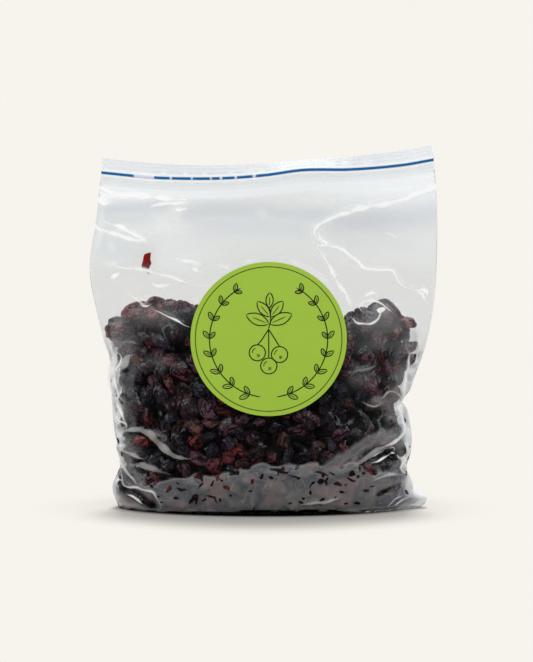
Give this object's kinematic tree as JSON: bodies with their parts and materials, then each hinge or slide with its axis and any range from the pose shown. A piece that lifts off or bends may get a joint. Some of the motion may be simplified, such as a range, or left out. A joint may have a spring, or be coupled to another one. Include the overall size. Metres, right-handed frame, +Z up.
{
  "type": "bag of dried cranberries",
  "caption": "Clear press-to-close bag part filled with dark dried cranberries, standing on its slumped base, with a round green sticker on its front.",
  "frame": {"origin": "centre of the bottom of the bag's box, on the surface it stands on", "axes": "+Z up to the closure, -Y out of the stickered front, +X to the right as the front is seen"},
  "size_m": [0.199, 0.0776, 0.2112],
  "materials": {
    "film": "clear, glossy, softly creased",
    "fruit": "wrinkled, half glossy",
    "zip_line": "smooth, coloured through",
    "label": "coated, satin"
  },
  "bodies": {
    "root": {"bag": "film", "zip_tracks": "film", "zip_line": "zip_line", "mouth_lip": "film", "label": "label"}
  },
  "joints": []
}
